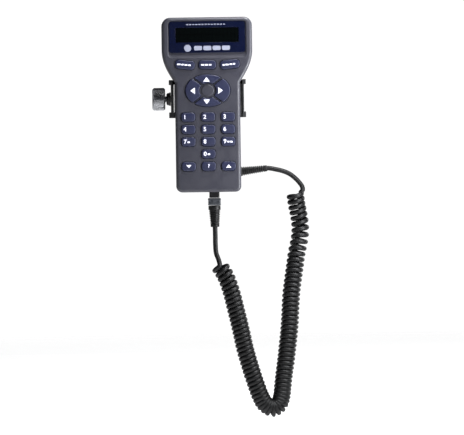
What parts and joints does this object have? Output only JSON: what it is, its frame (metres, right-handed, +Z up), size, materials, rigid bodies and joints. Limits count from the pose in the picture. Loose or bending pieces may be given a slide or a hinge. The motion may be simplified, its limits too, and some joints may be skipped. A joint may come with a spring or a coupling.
{
  "type": "telescope hand controller",
  "caption": "Handheld keypad controller with a display, gripped in a wall holder by a thumb screw, with a curly cord and plugs.",
  "frame": {"origin": "centre of the holder's back face, where it is screwed to the host", "axes": "+Z up along the handset, +Y out of the holder's back face, keys face -Y"},
  "size_m": [0.1483, 0.0554, 0.3803],
  "materials": {
    "casing": "fine moulded grain, dark blue-grey",
    "panel": "glossy navy printed panel",
    "window": "glossy, nearly black",
    "key_rubber": "matt moulded rubber, dark violet-blue",
    "mat_rubber": "matt moulded rubber",
    "board": "green solder mask",
    "chip": "moulded black epoxy",
    "tin": "bright tin plate",
    "screw_steel": "zinc plated",
    "red_lens": "clear red, polished",
    "black_plastic": "moulded black",
    "hood_grey": "satin light grey",
    "cord_black": "smooth black jacket, satin",
    "holder_paint": "fine black crackle paint",
    "pad_rubber": "matt foam rubber",
    "nickel": "brushed nickel plate",
    "knob_chrome": "satin chrome, knurled rim"
  },
  "bodies": {
    "holder": {"holder_bracket": "holder_paint", "holder_screw_lower": "screw_steel", "holder_screw_upper": "screw_steel", "back_pad": "pad_rubber", "side_pad": "pad_rubber", "screw_boss": "holder_paint", "coil": "cord_black", "lead_host": "cord_black", "host_boot": "cord_black", "host_plug": "black_plastic"},
    "handset": {"front_casing": "casing", "rear_casing": "casing", "display_panel": "panel", "display_window": "window", "light_lens": "red_lens", "cord_jack": "black_plastic", "handset_plug": "black_plastic", "plug_hood": "hood_grey", "handset_boot": "cord_black", "lead_handset": "cord_black", "display_frame": "tin", "display_module": "chip", "display_header": "black_plastic", "keypad_mat": "mat_rubber", "main_board": "board", "processor_chip": "chip", "memory_chip": "chip", "buzzer": "black_plastic", "casing_screw_1": "screw_steel", "casing_screw_2": "screw_steel", "casing_screw_3": "screw_steel", "casing_screw_4": "screw_steel"},
    "key_enter": {"key_enter": "key_rubber"},
    "key_mode": {"key_mode": "key_rubber"},
    "key_go": {"key_go": "key_rubber"},
    "key_arrow_right": {"key_arrow_right": "key_rubber"},
    "key_arrow_up": {"key_arrow_up": "key_rubber"},
    "key_arrow_left": {"key_arrow_left": "key_rubber"},
    "key_arrow_down": {"key_arrow_down": "key_rubber"},
    "key_1": {"key_1": "key_rubber"},
    "key_2": {"key_2": "key_rubber"},
    "key_3": {"key_3": "key_rubber"},
    "key_4": {"key_4": "key_rubber"},
    "key_5": {"key_5": "key_rubber"},
    "key_6": {"key_6": "key_rubber"},
    "key_7": {"key_7": "key_rubber"},
    "key_8": {"key_8": "key_rubber"},
    "key_9": {"key_9": "key_rubber"},
    "key_0": {"key_0": "key_rubber"},
    "key_scroll_down": {"key_scroll_down": "key_rubber"},
    "key_help": {"key_help": "key_rubber"},
    "key_scroll_up": {"key_scroll_up": "key_rubber"},
    "clamp_plate": {"clamp_plate": "nickel"},
    "thumb_screw": {"screw_stud": "screw_steel", "clamp_knob": "knob_chrome"}
  },
  "joints": [
    {"name": "handset_pull", "type": "slide", "parent": "holder", "child": "handset", "axis": [0, -1, 0], "range_m": [0, 0.028]},
    {"name": "key_enter_press", "type": "slide", "parent": "handset", "child": "key_enter", "axis": [0, 1, 0], "range_m": [0, 0.0009], "stiffness_N_per_m": 1200},
    {"name": "key_mode_press", "type": "slide", "parent": "handset", "child": "key_mode", "axis": [0, 1, 0], "range_m": [0, 0.0009], "stiffness_N_per_m": 1200},
    {"name": "key_go_press", "type": "slide", "parent": "handset", "child": "key_go", "axis": [0, 1, 0], "range_m": [0, 0.0009], "stiffness_N_per_m": 1200},
    {"name": "key_arrow_right_press", "type": "slide", "parent": "handset", "child": "key_arrow_right", "axis": [0, 1, 0], "range_m": [0, 0.0009], "stiffness_N_per_m": 1200},
    {"name": "key_arrow_up_press", "type": "slide", "parent": "handset", "child": "key_arrow_up", "axis": [0, 1, 0], "range_m": [0, 0.0009], "stiffness_N_per_m": 1200},
    {"name": "key_arrow_left_press", "type": "slide", "parent": "handset", "child": "key_arrow_left", "axis": [0, 1, 0], "range_m": [0, 0.0009], "stiffness_N_per_m": 1200},
    {"name": "key_arrow_down_press", "type": "slide", "parent": "handset", "child": "key_arrow_down", "axis": [0, 1, 0], "range_m": [0, 0.0009], "stiffness_N_per_m": 1200},
    {"name": "key_1_press", "type": "slide", "parent": "handset", "child": "key_1", "axis": [0, 1, 0], "range_m": [0, 0.0009], "stiffness_N_per_m": 1200},
    {"name": "key_2_press", "type": "slide", "parent": "handset", "child": "key_2", "axis": [0, 1, 0], "range_m": [0, 0.0009], "stiffness_N_per_m": 1200},
    {"name": "key_3_press", "type": "slide", "parent": "handset", "child": "key_3", "axis": [0, 1, 0], "range_m": [0, 0.0009], "stiffness_N_per_m": 1200},
    {"name": "key_4_press", "type": "slide", "parent": "handset", "child": "key_4", "axis": [0, 1, 0], "range_m": [0, 0.0009], "stiffness_N_per_m": 1200},
    {"name": "key_5_press", "type": "slide", "parent": "handset", "child": "key_5", "axis": [0, 1, 0], "range_m": [0, 0.0009], "stiffness_N_per_m": 1200},
    {"name": "key_6_press", "type": "slide", "parent": "handset", "child": "key_6", "axis": [0, 1, 0], "range_m": [0, 0.0009], "stiffness_N_per_m": 1200},
    {"name": "key_7_press", "type": "slide", "parent": "handset", "child": "key_7", "axis": [0, 1, 0], "range_m": [0, 0.0009], "stiffness_N_per_m": 1200},
    {"name": "key_8_press", "type": "slide", "parent": "handset", "child": "key_8", "axis": [0, 1, 0], "range_m": [0, 0.0009], "stiffness_N_per_m": 1200},
    {"name": "key_9_press", "type": "slide", "parent": "handset", "child": "key_9", "axis": [0, 1, 0], "range_m": [0, 0.0009], "stiffness_N_per_m": 1200},
    {"name": "key_0_press", "type": "slide", "parent": "handset", "child": "key_0", "axis": [0, 1, 0], "range_m": [0, 0.0009], "stiffness_N_per_m": 1200},
    {"name": "key_scroll_down_press", "type": "slide", "parent": "handset", "child": "key_scroll_down", "axis": [0, 1, 0], "range_m": [0, 0.0009], "stiffness_N_per_m": 1200},
    {"name": "key_help_press", "type": "slide", "parent": "handset", "child": "key_help", "axis": [0, 1, 0], "range_m": [0, 0.0009], "stiffness_N_per_m": 1200},
    {"name": "key_scroll_up_press", "type": "slide", "parent": "handset", "child": "key_scroll_up", "axis": [0, 1, 0], "range_m": [0, 0.0009], "stiffness_N_per_m": 1200},
    {"name": "clamp_plate_slide", "type": "slide", "parent": "holder", "child": "clamp_plate", "axis": [1, 0, 0], "range_m": [-0.0005, 0]},
    {"name": "thumb_screw_turn", "type": "hinge", "parent": "clamp_plate", "child": "thumb_screw", "pos_m": [-0.04, -0.012, 0], "axis": [1, 0, 0], "range_deg": [-180.5, 0]}
  ],
  "couplings": [
    {"joint": "thumb_screw_turn", "follows": "clamp_plate_slide", "rad_per_m": 6283.2}
  ]
}
